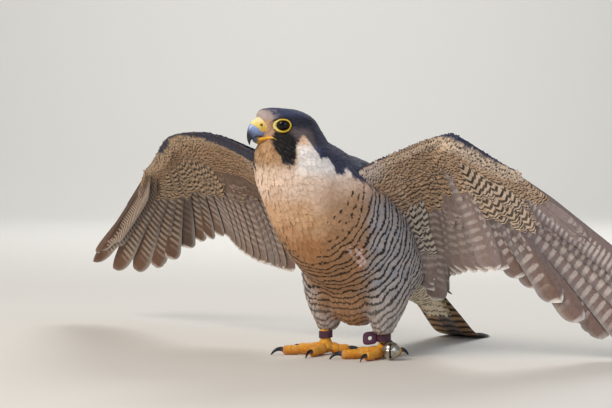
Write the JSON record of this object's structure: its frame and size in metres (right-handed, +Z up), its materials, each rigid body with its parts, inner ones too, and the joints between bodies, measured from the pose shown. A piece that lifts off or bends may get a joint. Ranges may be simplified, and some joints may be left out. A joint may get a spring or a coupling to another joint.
{
  "type": "peregrine falcon",
  "caption": "Life-size falcon standing on both feet with half-open hanging wings, hooked bill, barred underparts, leather anklets and a small bell.",
  "frame": {"origin": "on the floor, under the middle of the whole bird's box", "axes": "+X towards the bird's left wing, +Y towards its tail, +Z up"},
  "size_m": [0.7612, 0.3926, 0.2452],
  "materials": {
    "feather": "soft matt vanes, slate above and barred buff below",
    "bill": "blue-grey horn darkening to a black tip",
    "eye": "wet dark brown",
    "skin": "scaled orange-yellow skin",
    "claw": "polished black horn",
    "leather": "worn maroon leather",
    "bell": "polished white metal"
  },
  "bodies": {
    "root": {"anklet_left": "leather", "anklet_right": "leather", "bell_left": "bell", "bill_lower": "bill", "bill_upper": "bill", "claw_left_1": "claw", "claw_left_2": "claw", "claw_left_3": "claw", "claw_left_4": "claw", "claw_right_1": "claw", "claw_right_2": "claw", "claw_right_3": "claw", "claw_right_4": "claw", "eye_left": "eye", "eye_right": "eye", "foot_left": "skin", "foot_right": "skin", "head": "feather", "leg_left": "feather", "leg_right": "feather", "neck": "feather", "tail": "feather", "trunk": "feather", "wing_left_arm": "feather", "wing_left_hand": "feather", "wing_right_arm": "feather", "wing_right_hand": "feather"}
  },
  "joints": []
}
